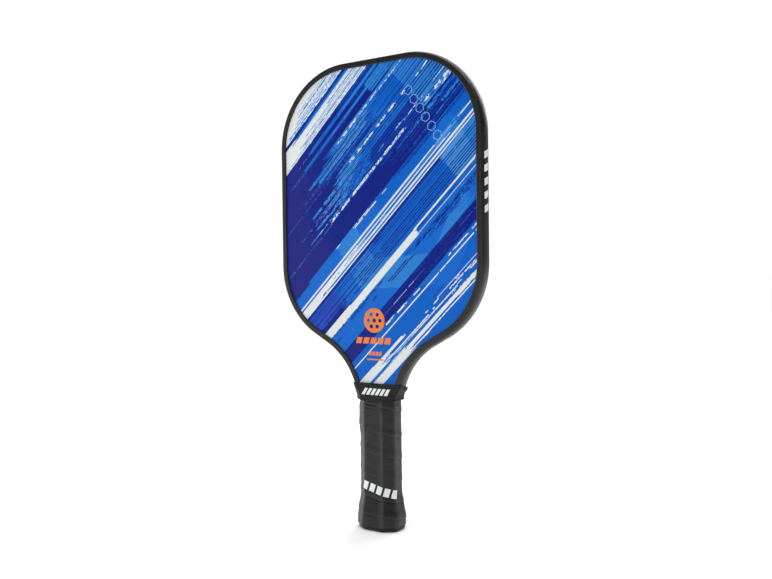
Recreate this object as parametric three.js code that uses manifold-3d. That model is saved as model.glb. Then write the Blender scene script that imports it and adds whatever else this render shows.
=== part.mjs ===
// Pickleball paddle, in millimetres.
// +Z runs up the handle to the top of the head, the front hitting face looks along -Y, and the origin
// is the middle of the butt cap's flat end. The head is a sandwich of a honeycomb core, two bonding
// scrims and two printed fibreglass faces. A channel of plastic guards its edge. The sandwich's tongue
// runs down the handle between two foam pallets, under a cushion grip, a butt cap and a rubber collar.
import * as THREE from "three";
import { mergeVertices } from "three/addons/utils/BufferGeometryUtils.js";
import Module from "manifold-3d";

const wasm = await Module();
wasm.setup();

// ---------- driving dimensions ----------
const degrees = Math.PI / 180;

// Outer outline of the head, over the edge guard. It is symmetric about x = 0.
const LENGTH = 400;
const WIDTH = 203.2;
const TOP_CORNER_R = 70.5;
const SIDE_BOTTOM_Z = 225.5; // where the straight side turns into the lower corner
const LOWER_CORNER_R = 70.5;
const LOWER_CORNER_TURN = 60.5 * degrees;
const SHOULDER_RUN = 16; // straight stretch between the lower corner and the throat
const THROAT_R = 63;
const THROAT_EXIT = 21 * degrees; // the throat's lean away from the handle's line where it ends

// Sandwich, as distances from the middle plane y = 0.
const CORE_Y = 4.75;
const SCRIM_Y = 5;
const FACE_Y = 5.5;
const PANEL_INSET = 2.4; // from the outer outline in to the sandwich's edge
const TONGUE_HALF_WIDTH = 15;
const TONGUE_TOP_Z = 115.4; // the sandwich has narrowed to its tongue here
const TONGUE_BOTTOM_Z = 4.4;

// Honeycomb: pointy-topped hexagons, joined by walls.
const CELL_PITCH = 18;
const CELL_WALL = 1.2;
const CELL_MARGIN = 1; // least material between a cell and the sandwich's edge

// Edge guard channel.
const GUARD_END_Z = 119;
const LIP_TIP = -6.1; // measured out from the outer outline
const WEB_INNER = -1.9;
const LIP_INNER_Y = 5.6;
const LIP_OUTER_Y = 6.6;
const GUARD_TAPE_INNER = -2.3;
const GUARD_TAPE_OUTER = -2;
const GUARD_TAPE_Y = 5;

// Handle. Its octagon is the tongue's two edges and three facets of each pallet.
const HANDLE_HALF_DEPTH = 10.7;
const PALLET_FLAT_HALF = 8; // half the width of the facet that lies parallel to the hitting face
const PALLET_BOTTOM_Z = 4.4;
const RAMP_BOTTOM_Z = 114.4; // the pallet thins out on to the face from here
const RAMP_TOP_Z = 121.6;
const RAMP_TIP_Y = 6.2;

// Layers round the handle, as offsets from its octagon.
const GLUE_GAP = 0.2;
const GRIP_FOAM = 1; // foam backing's thickness
const GRIP_SKIN = 0.5; // outer skin's thickness
const GRIP_TOP_Z = 114;
const GRIP_BOTTOM_Z = 2.7;
const END_TAPE = 0.2;
const END_TAPE_BOTTOM_Z = 110.6;
const END_TAPE_TOP_Z = 114.4;

// Butt cap: [z, offset from the handle's octagon].
const CAP_FLANGE = [
  [0, 3],
  [0.6, 3.7],
  [1.6, 4.2],
  [2.3, 4.2],
];
const CAP_FLARE = [
  [2.5, 2.9],
  [10, 2.9],
  [15, 2.35],
  [20, 1.65],
  [24, 1.15],
  [26.5, 0.8],
];
const CAP_FLOOR_Z = 4;
const CAP_CLEARANCE = 0.2;
const GRIP_STEP_Z = 28.5; // above the cap, where the grip has come in to the bare handle
const BADGE_R = 9.7;
const BADGE_RECESS_R = 10;
const BADGE_RECESS_DEPTH = 1.3;
const BADGE_BOTTOM_Z = 0.25;
const BADGE_THICKNESS = 1;

// Staples through the cap's wide sides into the pallets.
const STAPLE_Z = 14;
const STAPLE_CROWN = 8;
const STAPLE_WIRE = 0.6;
const STAPLE_DEPTH = 0.9;
const STAPLE_LEG = 6;
const STAPLE_OUTER_Y = 12.2;
const STAPLE_CLEARANCE = 0.25;

// Collar: octagon sections as [z, half width, half depth, flat half width, flat half depth].
const COLLAR_OUTER = [
  [110, 18.9, 14.6, 10.4, 7.4],
  [110.8, 19.6, 15.1, 11, 7.6],
  [115, 20.4, 14.2, 12.6, 7.5],
  [119, 22.9, 11, 17, 7.3],
  [123.6, 24.9, 7.6, 22.9, 6.1],
  [124.3, 24.75, 7.3, 22.8, 5.9],
];
const COLLAR_INNER = [
  [110, 17.6, 13.3, 9.2, 6.9],
  [114.8, 17.8, 13.2, 9.6, 6.9],
  [118.8, 22.35, 10, 16.4, 6.9],
  [124.3, 24.4, 6.85, 22.9, 5.6],
];

const ARC_STEP = 4.5 * degrees;

// ---------- outline of the head ----------

// Right half of the outer outline from the middle of the top down to endZ, as points with outward
// unit normals, so that every other outline of the head is this one moved along its normals.
function halfOutline(endZ) {
  const frames = [];
  const add = (x, z, angle) =>
    frames.push({
      p: new THREE.Vector2(x, z),
      n: new THREE.Vector2(Math.cos(angle), Math.sin(angle)),
    });
  // An arc about a centre. side is 1 where the outline bulges out and -1 where it is hollow.
  const arc = (cx, cz, r, from, to, side) => {
    const steps = Math.max(2, Math.round(Math.abs(to - from) / ARC_STEP));
    for (let i = 0; i <= steps; i++) {
      const a = from + ((to - from) * i) / steps;
      add(cx + side * r * Math.cos(a), cz + side * r * Math.sin(a), a);
    }
  };
  const half = WIDTH / 2;
  add(0, LENGTH, Math.PI / 2);
  arc(half - TOP_CORNER_R, LENGTH - TOP_CORNER_R, TOP_CORNER_R, Math.PI / 2, 0, 1);
  const lowerX = half - LOWER_CORNER_R;
  arc(lowerX, SIDE_BOTTOM_Z, LOWER_CORNER_R, 0, -LOWER_CORNER_TURN, 1);
  const shoulder = frames[frames.length - 1];
  const run = new THREE.Vector2(shoulder.n.y, -shoulder.n.x).multiplyScalar(SHOULDER_RUN);
  const throatStart = shoulder.p.clone().add(run);
  const throat = throatStart.clone().addScaledVector(shoulder.n, THROAT_R);
  arc(throat.x, throat.y, THROAT_R, -LOWER_CORNER_TURN, -THROAT_EXIT, -1);
  const last = frames[frames.length - 1];
  add(last.p.x - (last.p.y - endZ) * Math.tan(THROAT_EXIT), endZ, -THROAT_EXIT);
  return frames;
}

const mirrored = (frames) =>
  frames.map(({ p, n }) => ({
    p: new THREE.Vector2(-p.x, p.y),
    n: new THREE.Vector2(-n.x, n.y),
  }));

// The whole path from the left end over the top to the right end.
function fullOutline(endZ) {
  const right = halfOutline(endZ);
  return [...mirrored(right).slice(1).reverse(), ...right];
}

// The sandwich's outline with its tongue, as a closed list of x, z points.
function panelPoints() {
  const right = halfOutline(GUARD_END_Z).map(({ p, n }) =>
    p.clone().addScaledVector(n, -PANEL_INSET),
  );
  right.push(new THREE.Vector2(TONGUE_HALF_WIDTH, TONGUE_TOP_Z));
  right.push(new THREE.Vector2(TONGUE_HALF_WIDTH, TONGUE_BOTTOM_Z));
  const left = right.slice(1).map((p) => new THREE.Vector2(-p.x, p.y));
  return [...right, ...left.reverse()];
}

// ---------- solids ----------

// A geometry from points and triangles, turned to face outwards.
function closedGeometry(points, triangles) {
  let volume = 0;
  for (const [a, b, c] of triangles)
    volume += points[a].dot(new THREE.Vector3().crossVectors(points[b], points[c]));
  const ordered = volume < 0 ? triangles.map(([a, b, c]) => [a, c, b]) : triangles;
  return new THREE.BufferGeometry().setFromPoints(points).setIndex(ordered.flat());
}

// Two triangles for each side of a tube between two neighbouring rings of points.
function ringBand(lower, upper, count) {
  const band = [];
  for (let i = 0; i < count; i++) {
    const j = (i + 1) % count;
    band.push([lower + i, lower + j, upper + j], [lower + i, upper + j, upper + i]);
  }
  return band;
}

// A closed body through rings of points, capped at both ends, or joined end to end as a sleeve.
function loft(rings, isSleeve = false) {
  const count = rings[0].length;
  const triangles = [];
  const bands = isSleeve ? rings.length : rings.length - 1;
  for (let r = 0; r < bands; r++)
    triangles.push(...ringBand(r * count, ((r + 1) % rings.length) * count, count));
  if (!isSleeve) {
    const top = (rings.length - 1) * count;
    for (let i = 1; i < count - 1; i++) {
      triangles.push([0, i + 1, i]);
      triangles.push([top, top + i, top + i + 1]);
    }
  }
  return closedGeometry(rings.flat(), triangles);
}

// A profile of [outward, y] points swept along the head's outline, with flat ends.
function sweep(path, profile) {
  const rings = path.map(({ p, n }) =>
    profile.map(([u, y]) => new THREE.Vector3(p.x + n.x * u, y, p.y + n.y * u)),
  );
  const count = profile.length;
  const last = (rings.length - 1) * count;
  const triangles = [];
  for (let r = 0; r < rings.length - 1; r++)
    triangles.push(...ringBand(r * count, (r + 1) * count, count));
  const outline = profile.map(([u, y]) => new THREE.Vector2(u, y));
  const turn = Math.sign(THREE.ShapeUtils.area(outline));
  for (const [a, b, c] of THREE.ShapeUtils.triangulateShape(outline, [])) {
    const sameTurn = THREE.ShapeUtils.area([outline[a], outline[b], outline[c]]) * turn > 0;
    const [second, third] = sameTurn ? [b, c] : [c, b];
    triangles.push([a, third, second]);
    triangles.push([last + a, last + second, last + third]);
  }
  return closedGeometry(rings.flat(), triangles);
}

// A flat plate of an x, z shape between two planes of y.
function plate(shape, fromY, toY) {
  const g = new THREE.ExtrudeGeometry(shape, {
    depth: toY - fromY,
    bevelEnabled: false,
  });
  return g.rotateX(Math.PI / 2).translate(0, toY, 0);
}

const octagonRing = (z, hx, hy, fx, fy) =>
  [
    [hx, -fy],
    [hx, fy],
    [fx, hy],
    [-fx, hy],
    [-hx, fy],
    [-hx, -fy],
    [-fx, -hy],
    [fx, -hy],
  ].map(([x, y]) => new THREE.Vector3(x, y, z));

// The handle's octagon with every facet moved out by the same distance.
function handleRing(z, offset) {
  const run = TONGUE_HALF_WIDTH - PALLET_FLAT_HALF;
  const rise = HANDLE_HALF_DEPTH - FACE_Y;
  const normal = new THREE.Vector2(rise, run).normalize();
  const reach = normal.x * TONGUE_HALF_WIDTH + normal.y * FACE_Y + offset;
  const hx = TONGUE_HALF_WIDTH + offset;
  const hy = HANDLE_HALF_DEPTH + offset;
  return octagonRing(z, hx, hy, (reach - normal.y * hy) / normal.x, (reach - normal.x * hx) / normal.y);
}

// A sleeve round the handle: its outer rings going up, then its inner rings coming down.
const sleeve = (outer, inner) => loft([...outer, ...[...inner].reverse()], true);

// ---------- manifold-3d, for cuts ----------

function solidOf(geometry) {
  const bare = geometry.clone();
  bare.deleteAttribute("normal");
  bare.deleteAttribute("uv");
  const merged = mergeVertices(bare, 1e-4);
  return new wasm.Manifold(
    new wasm.Mesh({
      numProp: 3,
      vertProperties: new Float32Array(merged.attributes.position.array),
      triVerts: new Uint32Array(merged.index.array),
    }),
  );
}

function geometryOf(solid) {
  const mesh = solid.getMesh();
  return new THREE.BufferGeometry()
    .setAttribute("position", new THREE.BufferAttribute(mesh.vertProperties, 3))
    .setIndex(new THREE.BufferAttribute(mesh.triVerts, 1));
}

const cut = (geometry, ...tools) =>
  geometryOf(tools.reduce((left, tool) => left.subtract(solidOf(tool)), solidOf(geometry)));

// ---------- pieces of the sandwich ----------

const panelShape = () => new THREE.Shape(panelPoints());

function hexagon(cx, cz, acrossFlats) {
  const r = acrossFlats / Math.sqrt(3);
  const corners = [];
  for (let i = 0; i < 6; i++) {
    const a = Math.PI / 6 + (i * Math.PI) / 3;
    corners.push(new THREE.Vector2(cx + r * Math.cos(a), cz + r * Math.sin(a)));
  }
  return corners;
}

function isInside(point, polygon) {
  let inside = false;
  polygon.forEach((a, i) => {
    const b = polygon[(i + 1) % polygon.length];
    const crosses = a.y > point.y !== b.y > point.y;
    if (crosses && point.x < a.x + ((point.y - a.y) / (b.y - a.y)) * (b.x - a.x)) inside = !inside;
  });
  return inside;
}

// The core: a plate with every whole cell that fits inside the outline cut through it.
function coreGeometry() {
  const shape = panelShape();
  const outline = panelPoints();
  const rowHeight = (CELL_PITCH * Math.sqrt(3)) / 2;
  const rows = Math.ceil(LENGTH / rowHeight);
  const columns = Math.ceil(WIDTH / CELL_PITCH / 2);
  for (let row = 0; row <= rows; row++)
    for (let column = -columns; column <= columns; column++) {
      const cx = (column + (row % 2) / 2) * CELL_PITCH;
      const cz = row * rowHeight;
      const clearance = hexagon(cx, cz, CELL_PITCH - CELL_WALL + 2 * CELL_MARGIN);
      if (clearance.every((corner) => isInside(corner, outline)))
        shape.holes.push(new THREE.Path(hexagon(cx, cz, CELL_PITCH - CELL_WALL)));
    }
  return plate(shape, -CORE_Y, CORE_Y);
}

// Half of the guard's section, from the tip of one lip round to the middle of its crowned web.
const GUARD_HALF_SECTION = [
  [LIP_TIP, LIP_INNER_Y],
  [LIP_TIP, LIP_OUTER_Y - 0.35],
  [LIP_TIP + 0.4, LIP_OUTER_Y],
  [-1.7, LIP_OUTER_Y],
  [-1.05, 6.2],
  [-0.85, 5.5],
  [-1.1, 5.2],
  [-0.6, 4.8],
  [-0.15, 3],
];

function guardSection() {
  const other = GUARD_HALF_SECTION.map(([u, y]) => [u, -y]).reverse();
  return [...GUARD_HALF_SECTION, [0, 0], ...other, [WEB_INNER, -LIP_INNER_Y], [WEB_INNER, LIP_INNER_Y]];
}

const GUARD_TAPE_SECTION = [
  [GUARD_TAPE_INNER, -GUARD_TAPE_Y],
  [GUARD_TAPE_OUTER, -GUARD_TAPE_Y],
  [GUARD_TAPE_OUTER, GUARD_TAPE_Y],
  [GUARD_TAPE_INNER, GUARD_TAPE_Y],
];

// ---------- pieces of the handle ----------

// A staple on the side of the handle that side names: -1 in front, 1 behind. grow makes its hole.
function stapleGeometry(side, grow = 0) {
  const half = STAPLE_CROWN / 2 + grow;
  const inner = STAPLE_CROWN / 2 - STAPLE_WIRE - grow;
  const top = STAPLE_OUTER_Y + (grow ? 2 : 0);
  const crownInner = STAPLE_OUTER_Y - STAPLE_WIRE - grow;
  const tip = STAPLE_OUTER_Y - STAPLE_LEG - grow;
  const outline = [
    [-half, tip],
    [-inner, tip],
    [-inner, crownInner],
    [inner, crownInner],
    [inner, tip],
    [half, tip],
    [half, top],
    [-half, top],
  ].map(([x, y]) => new THREE.Vector2(x, side * y));
  const depth = STAPLE_DEPTH + 2 * grow;
  const g = new THREE.ExtrudeGeometry(new THREE.Shape(outline), {
    depth,
    bevelEnabled: false,
  });
  return g.translate(0, 0, STAPLE_Z - depth / 2);
}

// A foam pallet on one side of the tongue, with a ramp at its top and a hole for its staple.
function palletGeometry(side) {
  const section = (z, halfWidth, flatHalf, outerY) =>
    [
      [-halfWidth, FACE_Y],
      [halfWidth, FACE_Y],
      [flatHalf, outerY],
      [-flatHalf, outerY],
    ].map(([x, y]) => new THREE.Vector3(x, side * y, z));
  const full = TONGUE_HALF_WIDTH;
  const blank = loft([
    section(PALLET_BOTTOM_Z, full, PALLET_FLAT_HALF, HANDLE_HALF_DEPTH),
    section(RAMP_BOTTOM_Z, full, PALLET_FLAT_HALF, HANDLE_HALF_DEPTH),
    section(RAMP_TOP_Z, full, full - 1, RAMP_TIP_Y),
  ]);
  return cut(blank, stapleGeometry(side, STAPLE_CLEARANCE));
}

function buttCapGeometry() {
  const outer = [...CAP_FLANGE, ...CAP_FLARE].map(([z, d]) => handleRing(z, d));
  const topZ = CAP_FLARE[CAP_FLARE.length - 1][0];
  const socket = loft([handleRing(CAP_FLOOR_Z, CAP_CLEARANCE), handleRing(topZ + 1, CAP_CLEARANCE)]);
  const recess = new THREE.CylinderGeometry(BADGE_RECESS_R, BADGE_RECESS_R, BADGE_RECESS_DEPTH + 1, 40);
  recess.rotateX(Math.PI / 2).translate(0, 0, (BADGE_RECESS_DEPTH - 1) / 2);
  const holes = [-1, 1].map((side) => stapleGeometry(side, STAPLE_CLEARANCE));
  return cut(loft(outer), socket, recess, ...holes);
}

function badgeGeometry() {
  const disc = new THREE.CylinderGeometry(BADGE_R, BADGE_R, BADGE_THICKNESS, 40);
  return disc.rotateX(Math.PI / 2).translate(0, 0, BADGE_BOTTOM_Z + BADGE_THICKNESS / 2);
}

// A layer of the grip over the cap's flare and the bare handle, from one offset to another.
function gripLayer(innerOffset, outerOffset) {
  const flare = CAP_FLARE.map(([z, d]) => [Math.max(z, GRIP_BOTTOM_Z), d]);
  const stations = [...flare, [GRIP_STEP_Z, 0], [GRIP_TOP_Z, 0]];
  const rings = (offset) => stations.map(([z, d]) => handleRing(z, d + offset));
  return sleeve(rings(outerOffset), rings(innerOffset));
}

const GRIP_OUTER = GLUE_GAP + GRIP_FOAM + GLUE_GAP + GRIP_SKIN;

function endTapeGeometry() {
  const inner = GRIP_OUTER + GLUE_GAP / 2;
  const rings = (offset) => [END_TAPE_BOTTOM_Z, END_TAPE_TOP_Z].map((z) => handleRing(z, offset));
  return sleeve(rings(inner + END_TAPE), rings(inner));
}

const collarGeometry = () =>
  loft(
    [
      ...COLLAR_OUTER.map((s) => octagonRing(...s)),
      ...COLLAR_INNER.map((s) => octagonRing(...s)).reverse(),
    ],
    true,
  );

// ---------- the paddle ----------

const material = (color, roughness, metalness = 0) =>
  new THREE.MeshStandardMaterial({ color, roughness, metalness });

const POLYPROPYLENE = material(0xdfe2e0, 0.5);
const SCRIM_CLOTH = material(0xe9e7e0, 0.95);
const PRINTED_FACE = material(0x0b57c4, 0.3);
const GUARD_PLASTIC = material(0x2b2b2b, 0.45);
const ADHESIVE_TAPE = material(0xd8d4c4, 0.8);
const PALLET_FOAM = material(0xc9b27c, 0.9);
const CAP_PLASTIC = material(0x1c1c1c, 0.4);
const BADGE_PLASTIC = material(0x3a3a3c, 0.3);
const STEEL = material(0xb9bcc0, 0.35, 1);
const FOAM = material(0x3c3c3e, 0.95);
const GRIP_SYNTHETIC = material(0x2a2a2c, 0.5);
const VINYL = material(0x161616, 0.3);
const RUBBER = material(0x1e1e1f, 0.7);

const paddle = new THREE.Group();

function addPiece(name, geometry, surface) {
  const mesh = new THREE.Mesh(geometry, surface);
  mesh.name = name;
  paddle.add(mesh);
}

addPiece("honeycomb_core", coreGeometry(), POLYPROPYLENE);
addPiece("front_scrim", plate(panelShape(), -SCRIM_Y, -CORE_Y), SCRIM_CLOTH);
addPiece("rear_scrim", plate(panelShape(), CORE_Y, SCRIM_Y), SCRIM_CLOTH);
addPiece("front_face_sheet", plate(panelShape(), -FACE_Y, -SCRIM_Y), PRINTED_FACE);
addPiece("rear_face_sheet", plate(panelShape(), SCRIM_Y, FACE_Y), PRINTED_FACE);
addPiece("edge_guard", sweep(fullOutline(GUARD_END_Z), guardSection()), GUARD_PLASTIC);
addPiece("edge_guard_tape", sweep(fullOutline(GUARD_END_Z + 1), GUARD_TAPE_SECTION), ADHESIVE_TAPE);
addPiece("front_handle_pallet", palletGeometry(-1), PALLET_FOAM);
addPiece("rear_handle_pallet", palletGeometry(1), PALLET_FOAM);
addPiece("butt_cap", buttCapGeometry(), CAP_PLASTIC);
addPiece("butt_cap_badge", badgeGeometry(), BADGE_PLASTIC);
addPiece("front_cap_staple", stapleGeometry(-1), STEEL);
addPiece("rear_cap_staple", stapleGeometry(1), STEEL);
addPiece("grip_foam_backing", gripLayer(GLUE_GAP, GLUE_GAP + GRIP_FOAM), FOAM);
addPiece("grip_skin", gripLayer(GRIP_OUTER - GRIP_SKIN, GRIP_OUTER), GRIP_SYNTHETIC);
addPiece("grip_finishing_tape", endTapeGeometry(), VINYL);
addPiece("rubber_collar", collarGeometry(), RUBBER);

export default paddle;
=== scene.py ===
"""Looks for the pickleball paddle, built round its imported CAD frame.

The frame's axes hold here: +Z up the handle to the top of the head, the front hitting face along -Y.
Lengths are written in millimetres and turned into metres where a mesh is made.
"""

import math

import bpy
import numpy as np
from mathutils import Matrix, Vector
from mathutils.geometry import delaunay_2d_cdt


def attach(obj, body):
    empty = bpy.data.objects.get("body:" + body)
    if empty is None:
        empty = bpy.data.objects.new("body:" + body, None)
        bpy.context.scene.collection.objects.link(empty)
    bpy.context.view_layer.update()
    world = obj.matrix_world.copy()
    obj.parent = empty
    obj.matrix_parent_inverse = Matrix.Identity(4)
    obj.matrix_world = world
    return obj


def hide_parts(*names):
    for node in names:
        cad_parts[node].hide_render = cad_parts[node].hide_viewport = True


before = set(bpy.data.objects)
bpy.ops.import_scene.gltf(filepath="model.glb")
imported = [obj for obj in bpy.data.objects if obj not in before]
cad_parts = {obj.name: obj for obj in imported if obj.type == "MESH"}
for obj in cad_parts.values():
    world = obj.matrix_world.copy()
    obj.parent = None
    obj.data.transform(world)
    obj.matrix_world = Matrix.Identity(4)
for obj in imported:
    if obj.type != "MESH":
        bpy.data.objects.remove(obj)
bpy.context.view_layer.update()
rng = np.random.default_rng(7)
MM = 0.001
INK_BASE = 0.015  # how far a printed mark's underside lies off its surface
INK_TOP = 0.065

# ---------- sizes shared with the CAD part ----------
LENGTH = 400
WIDTH = 203.2
TOP_CORNER_R = 70.5
SIDE_BOTTOM_Z = 225.5
LOWER_CORNER_R = 70.5
LOWER_CORNER_TURN = math.radians(60.5)
SHOULDER_RUN = 16
THROAT_R = 63
THROAT_EXIT = math.radians(21)
PANEL_INSET = 2.4
TONGUE_HALF_WIDTH = 15
TONGUE_TOP_Z = 115.4
TONGUE_BOTTOM_Z = 4.4
GUARD_END_Z = 119
SCRIM_Y = 5
FACE_Y = 5.5
HANDLE_HALF_DEPTH = 10.7
PALLET_FLAT_HALF = 8
GRIP_TOP_Z = 114
GRIP_BOTTOM_Z = 2.7
BADGE_RECESS_R = 10
BADGE_RECESS_DEPTH = 1.3
CAP_TOP_Z = 26.5
CAP_FLOOR_Z = 4


# ---------- meshes ----------


def make_piece(name, points, faces, surface, replaces=(), crease=35):
    """A smooth-shaded mesh object from points in millimetres, riding on the paddle."""
    mesh = bpy.data.meshes.new(name)
    mesh.from_pydata((np.asarray(points, float) * MM).tolist(), [], faces)
    mesh.validate()
    mesh.shade_smooth()
    mesh.set_sharp_from_angle(angle=math.radians(crease))
    piece = bpy.data.objects.new(name, mesh)
    bpy.context.collection.objects.link(piece)
    mesh.materials.append(surface)
    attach(piece, "root")
    if replaces:
        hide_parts(*replaces)
    return piece


def ring_bands(rings, count, closed):
    """Quads between rings of count points; closed joins the last ring to the first."""
    faces = []
    for r in range(rings if closed else rings - 1):
        a, b = r * count, (r + 1) % rings * count
        faces += [(a + i, a + (i + 1) % count, b + (i + 1) % count, b + i) for i in range(count)]
    return faces


def capped_bands(rings, count):
    """Quads between open rings of count points, with a face over the first and the last ring."""
    last = (rings - 1) * count
    ends = [list(range(count))[::-1], [last + i for i in range(count)]]
    return ring_bands(rings, count, False) + ends


def facing_out(points, faces):
    """The faces, turned round if the body they close is inside out."""
    p = np.asarray(points, float)
    volume = 0.0
    for face in faces:
        for i in range(1, len(face) - 1):
            volume += np.dot(p[face[0]], np.cross(p[face[i]], p[face[i + 1]]))
    return faces if volume > 0 else [tuple(reversed(f)) for f in faces]


# ---------- outline of the head ----------


def half_outline(end_z, step):
    """The right half of the outer outline, from the middle of the top down, as (x, z, normal angle)."""
    frames = []

    def arc(cx, cz, r, start, end, side):
        steps = max(2, round(abs(end - start) / step))
        for a in np.linspace(start, end, steps + 1):
            frames.append((cx + side * r * math.cos(a), cz + side * r * math.sin(a), a))

    def line(x, z, gap=6.0):
        x0, z0, a = frames[-1]
        steps = max(1, round(math.hypot(x - x0, z - z0) / gap))
        for k in range(1, steps + 1):
            frames.append((x0 + (x - x0) * k / steps, z0 + (z - z0) * k / steps, a))

    half = WIDTH / 2
    frames.append((0.0, LENGTH, math.pi / 2))
    line(half - TOP_CORNER_R, LENGTH)
    frames.pop()
    arc(half - TOP_CORNER_R, LENGTH - TOP_CORNER_R, TOP_CORNER_R, math.pi / 2, 0, 1)
    line(half, SIDE_BOTTOM_Z)
    frames.pop()
    arc(half - LOWER_CORNER_R, SIDE_BOTTOM_Z, LOWER_CORNER_R, 0, -LOWER_CORNER_TURN, 1)
    x, z, a = frames[-1]
    x, z = x + SHOULDER_RUN * math.sin(a), z - SHOULDER_RUN * math.cos(a)
    line(x, z)
    frames.pop()
    centre = (x + THROAT_R * math.cos(a), z + THROAT_R * math.sin(a))
    arc(*centre, THROAT_R, -LOWER_CORNER_TURN, -THROAT_EXIT, -1)
    x, z, a = frames[-1]
    line(x - (z - end_z) * math.tan(THROAT_EXIT), end_z)
    return frames


def full_outline(end_z, step=math.radians(2)):
    """The whole path from the left end over the top to the right end, as points and unit normals."""
    right = half_outline(end_z, step)
    left = [(-x, z, math.pi - a) for x, z, a in right[1:]]
    path = np.array(left[::-1] + right)
    return path[:, :2], np.stack([np.cos(path[:, 2]), np.sin(path[:, 2])], 1)


def panel_outline():
    """The sandwich's outline with its tongue, anticlockwise seen from the front."""
    points, normals = full_outline(GUARD_END_Z)
    panel = (points - PANEL_INSET * normals)[::-1]
    tongue = [(-TONGUE_HALF_WIDTH, TONGUE_TOP_Z), (-TONGUE_HALF_WIDTH, TONGUE_BOTTOM_Z)]
    tongue += [(TONGUE_HALF_WIDTH, TONGUE_BOTTOM_Z), (TONGUE_HALF_WIDTH, TONGUE_TOP_Z)]
    return np.vstack([panel, tongue])


def inside(x, z, polygon):
    """Which of the points lie inside the polygon."""
    result = np.zeros(np.shape(x), bool)
    for (ax, az), (bx, bz) in zip(polygon, np.roll(polygon, -1, 0)):
        if az != bz:
            crosses = (az > z) != (bz > z)
            result ^= crosses & (x < ax + (z - az) / (bz - az) * (bx - ax))
    return result


# ---------- materials ----------


def srgb(r, g, b):
    """A colour given as it looks on a screen, 0 to 255, as linear values."""
    v = np.array([r, g, b]) / 255
    return tuple(np.where(v <= 0.04045, v / 12.92, ((v + 0.055) / 1.055) ** 2.4).tolist())


class Surface:
    """A material whose colour, roughness and relief come from nodes."""

    def __init__(self, name, specular=0.5, metallic=0.0):
        self.material = bpy.data.materials.new(name)
        self.material.use_nodes = True
        self.tree = self.material.node_tree
        self.shader = self.tree.nodes["Principled BSDF"]
        self.shader.inputs["Specular IOR Level"].default_value = specular
        self.shader.inputs["Metallic"].default_value = metallic
        self.place = self.node("ShaderNodeTexCoord").outputs["Object"]
        self.bump = None

    def node(self, kind, **settings):
        made = self.tree.nodes.new(kind)
        for key, value in settings.items():
            if key in made.inputs:
                made.inputs[key].default_value = value
            else:
                setattr(made, key, value)
        return made

    def join(self, out, to):
        self.tree.links.new(out, to)

    def noise(self, size_mm, detail=3.0):
        made = self.node("ShaderNodeTexNoise", Scale=1000 / size_mm, Detail=detail)
        self.join(self.place, made.inputs["Vector"])
        return made.outputs["Fac"]

    def spread(self, fac, low, high, start=0.3, end=0.7):
        made = self.node("ShaderNodeMapRange")
        made.inputs["From Min"].default_value = start
        made.inputs["From Max"].default_value = end
        made.inputs["To Min"].default_value = low
        made.inputs["To Max"].default_value = high
        self.join(fac, made.inputs["Value"])
        return made.outputs["Result"]

    def maths(self, operation, a, b):
        made = self.node("ShaderNodeMath", operation=operation)
        for socket, value in zip(made.inputs, (a, b)):
            if isinstance(value, (int, float)):
                socket.default_value = value
            else:
                self.join(value, socket)
        return made.outputs[0]

    def mixed(self, fac, a, b):
        made = self.node("ShaderNodeMix", data_type="RGBA")
        for socket, value in ((made.inputs[0], fac), (made.inputs[6], a), (made.inputs[7], b)):
            if isinstance(value, tuple):
                socket.default_value = (*value, 1)
            elif isinstance(value, (int, float)):
                socket.default_value = value
            else:
                self.join(value, socket)
        return made.outputs[2]

    def coloured(self, colour):
        self.join(colour, self.shader.inputs["Base Color"])
        return self

    def roughened(self, fac):
        self.join(fac, self.shader.inputs["Roughness"])
        return self

    def relieved(self, height, depth_mm, strength=1.0):
        """Adds relief on top of any that is there already."""
        made = self.node("ShaderNodeBump", Strength=strength, Distance=depth_mm * MM)
        self.join(height, made.inputs["Height"])
        if self.bump:
            self.join(self.bump, made.inputs["Normal"])
        self.bump = made.outputs["Normal"]
        self.join(self.bump, self.shader.inputs["Normal"])
        return self


def moulded(name, colour, lift, rough, grain_mm, grain_depth, specular=0.5):
    """Moulded plastic or rubber: a soft drift of tone, faint rub marks and a fine grain."""
    s = Surface(name, specular=specular)
    lighter = tuple(c * lift + 0.001 for c in colour)
    drift = s.spread(s.noise(22, 4), 0, 1)
    speck = s.spread(s.noise(0.9, 2), 0, 0.6, 0.55, 0.8)
    s.coloured(s.mixed(speck, s.mixed(drift, colour, lighter), tuple(c * 1.25 for c in lighter)))
    rub = s.spread(s.noise(3.5, 5), -0.05, 0.06)
    s.roughened(s.maths("ADD", rub, s.spread(s.noise(30, 2), rough - 0.05, rough + 0.05)))
    s.relieved(s.noise(grain_mm, 2), grain_depth)
    return s.material


def ink_material(name, colour, specular=0.4):
    """Opaque printed ink, its tone a little uneven."""
    s = Surface(name, specular=specular)
    s.coloured(s.mixed(s.spread(s.noise(4, 4), 0, 1), colour, tuple(c * 0.93 for c in colour)))
    s.roughened(s.spread(s.noise(1.5, 3), 0.3, 0.42))
    s.relieved(s.noise(0.5, 2), 0.01)
    return s.material


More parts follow.
